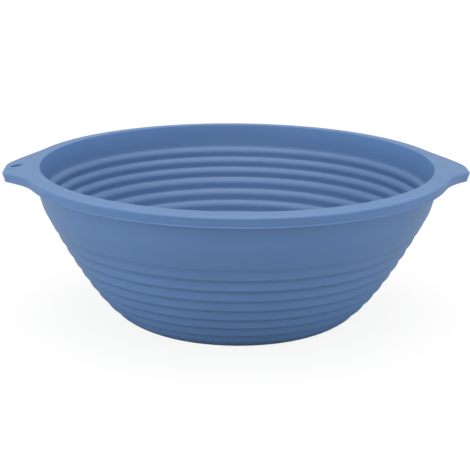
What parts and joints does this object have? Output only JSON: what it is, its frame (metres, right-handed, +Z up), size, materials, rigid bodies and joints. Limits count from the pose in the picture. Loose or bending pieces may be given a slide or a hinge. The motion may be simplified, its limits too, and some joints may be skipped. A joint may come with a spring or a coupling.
{
  "type": "silicone proofing basket",
  "caption": "Round flared silicone dough proofing basket with a ribbed folding wall, thick flat rim and opposed ears, one pierced for hanging.",
  "frame": {"origin": "middle of the flat underside, on the table", "axes": "+Z up along the basket's axis, X through the two ears with the pierced ear at -X, -Y towards the viewer of the picture"},
  "size_m": [0.2526, 0.2296, 0.0843],
  "materials": {
    "silicone": "matte moulded silicone, dusty blue"
  },
  "bodies": {
    "base": {"base_floor": "silicone", "base_heel": "silicone"},
    "rim": {"rim_flange": "silicone", "left_ear": "silicone", "right_ear": "silicone", "wall_band": "silicone"},
    "rib_1": {"rib_ring_1": "silicone"},
    "rib_2": {"rib_ring_2": "silicone"},
    "rib_3": {"rib_ring_3": "silicone"},
    "rib_4": {"rib_ring_4": "silicone"},
    "rib_5": {"rib_ring_5": "silicone"},
    "rib_6": {"rib_ring_6": "silicone"},
    "rib_7": {"rib_ring_7": "silicone"},
    "rib_8": {"rib_ring_8": "silicone"}
  },
  "joints": [
    {"name": "collapse", "type": "slide", "parent": "base", "child": "rim", "axis": [0, 0, -1], "range_m": [0, 0.036], "deforming": ["rib_ring_1", "rib_ring_2", "rib_ring_3", "rib_ring_4", "rib_ring_5", "rib_ring_6", "rib_ring_7", "rib_ring_8"]},
    {"name": "rib_1_fold", "type": "slide", "parent": "base", "child": "rib_1", "axis": [0, 0, -1], "range_m": [0, 0.03357]},
    {"name": "rib_2_fold", "type": "slide", "parent": "base", "child": "rib_2", "axis": [0, 0, -1], "range_m": [0, 0.02874]},
    {"name": "rib_3_fold", "type": "slide", "parent": "base", "child": "rib_3", "axis": [0, 0, -1], "range_m": [0, 0.02397]},
    {"name": "rib_4_fold", "type": "slide", "parent": "base", "child": "rib_4", "axis": [0, 0, -1], "range_m": [0, 0.01927]},
    {"name": "rib_5_fold", "type": "slide", "parent": "base", "child": "rib_5", "axis": [0, 0, -1], "range_m": [0, 0.01466]},
    {"name": "rib_6_fold", "type": "slide", "parent": "base", "child": "rib_6", "axis": [0, 0, -1], "range_m": [0, 0.01018]},
    {"name": "rib_7_fold", "type": "slide", "parent": "base", "child": "rib_7", "axis": [0, 0, -1], "range_m": [0, 0.00589]},
    {"name": "rib_8_fold", "type": "slide", "parent": "base", "child": "rib_8", "axis": [0, 0, -1], "range_m": [0, 0.0019]}
  ],
  "couplings": [
    {"joint": "rib_1_fold", "follows": "collapse", "ratio": 0.9325},
    {"joint": "rib_2_fold", "follows": "collapse", "ratio": 0.7983},
    {"joint": "rib_3_fold", "follows": "collapse", "ratio": 0.6657},
    {"joint": "rib_4_fold", "follows": "collapse", "ratio": 0.5352},
    {"joint": "rib_5_fold", "follows": "collapse", "ratio": 0.4073},
    {"joint": "rib_6_fold", "follows": "collapse", "ratio": 0.2829},
    {"joint": "rib_7_fold", "follows": "collapse", "ratio": 0.1637},
    {"joint": "rib_8_fold", "follows": "collapse", "ratio": 0.0528}
  ]
}
